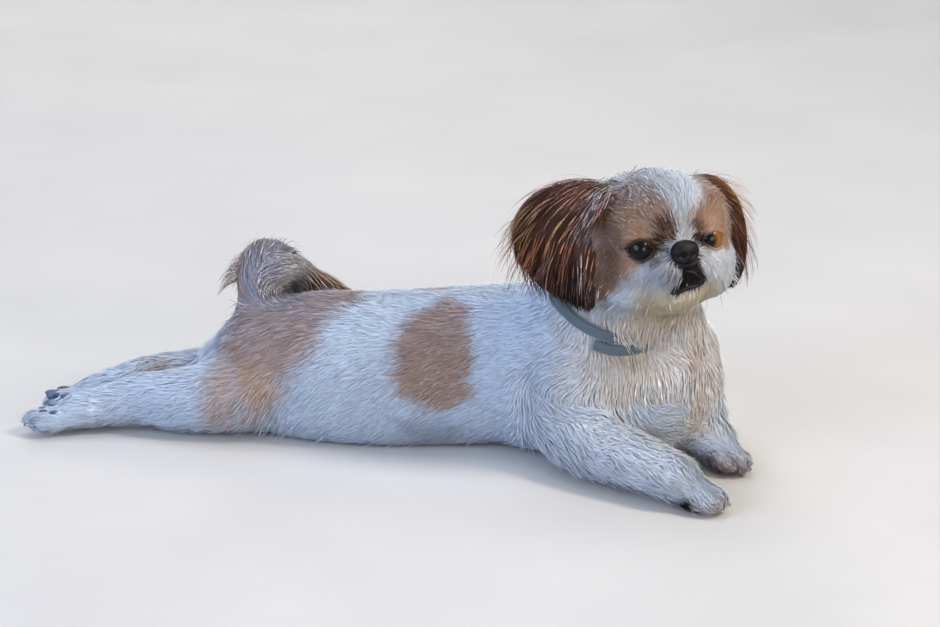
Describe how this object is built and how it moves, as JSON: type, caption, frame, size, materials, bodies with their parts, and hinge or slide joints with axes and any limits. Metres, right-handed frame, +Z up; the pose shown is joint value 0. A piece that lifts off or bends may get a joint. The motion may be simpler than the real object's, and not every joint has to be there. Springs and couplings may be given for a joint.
{
  "type": "lying shih tzu dog figure",
  "caption": "Life-size shih tzu lying on its belly with forelegs forward, hind legs stretched straight back, head turned to its right, bent tail and a flat collar.",
  "frame": {"origin": "middle of the footprint of the bounding box, on the floor", "axes": "+X from the tail towards the chest, +Y to the animal's left, +Z up"},
  "size_m": [0.6387, 0.2442, 0.2625],
  "materials": {
    "coat": "soft trimmed white coat with tan and grey-brown patches",
    "ear_coat": "long silky brown hair with black and grey strands",
    "tail_coat": "long grey-brown hair with dark streaks",
    "eye": "glossy dark brown",
    "nose_leather": "black, finely pebbled, slightly moist",
    "sole_pad": "dark grey, rough",
    "claw": "dark horn, satin",
    "collar_webbing": "slate-blue woven strap"
  },
  "bodies": {
    "root": {"claw_fore_left_1": "claw", "claw_fore_left_2": "claw", "claw_fore_left_3": "claw", "claw_fore_left_4": "claw", "claw_fore_right_1": "claw", "claw_fore_right_2": "claw", "claw_fore_right_3": "claw", "claw_fore_right_4": "claw", "claw_hind_left_1": "claw", "claw_hind_left_2": "claw", "claw_hind_left_3": "claw", "claw_hind_left_4": "claw", "claw_hind_right_1": "claw", "claw_hind_right_2": "claw", "claw_hind_right_3": "claw", "claw_hind_right_4": "claw", "collar": "collar_webbing", "collar_end": "collar_webbing", "ear_left": "ear_coat", "ear_right": "ear_coat", "eye_left": "eye", "eye_right": "eye", "foreleg_left": "coat", "foreleg_right": "coat", "forepaw_left": "coat", "forepaw_right": "coat", "head": "coat", "hindleg_left": "coat", "hindleg_right": "coat", "hindpaw_left": "coat", "hindpaw_right": "coat", "neck": "coat", "nose": "nose_leather", "pad_hind_left_1": "sole_pad", "pad_hind_left_2": "sole_pad", "pad_hind_left_3": "sole_pad", "pad_hind_left_4": "sole_pad", "pad_hind_left_large": "sole_pad", "pad_hind_right_1": "sole_pad", "pad_hind_right_2": "sole_pad", "pad_hind_right_3": "sole_pad", "pad_hind_right_4": "sole_pad", "pad_hind_right_large": "sole_pad", "tail": "tail_coat", "tail_plume": "tail_coat", "trunk": "coat"}
  },
  "joints": []
}
